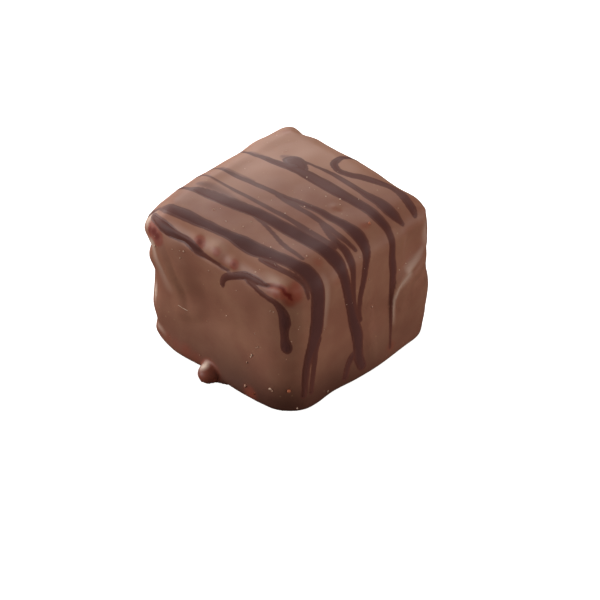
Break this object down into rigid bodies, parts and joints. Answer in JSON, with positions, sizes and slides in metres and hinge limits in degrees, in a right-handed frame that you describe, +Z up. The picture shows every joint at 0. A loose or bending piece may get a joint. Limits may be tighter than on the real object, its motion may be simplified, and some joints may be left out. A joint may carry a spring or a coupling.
{
  "type": "dominostein",
  "caption": "Bite-sized cake block under a soft milk chocolate coat, with strands of dark chocolate drizzled over the top and down the sides.",
  "frame": {"origin": "middle of the flat underside", "axes": "+Z up from the underside, X along the strands of drizzle, -Y out of the side with the foot of chocolate"},
  "size_m": [0.0265, 0.0279, 0.021],
  "materials": {
    "milk_chocolate": "satin milk chocolate",
    "dark_chocolate": "satin dark chocolate drizzle",
    "crumb": "matt pale crumbs"
  },
  "bodies": {
    "root": {"chocolate_cube": "milk_chocolate"}
  },
  "joints": []
}
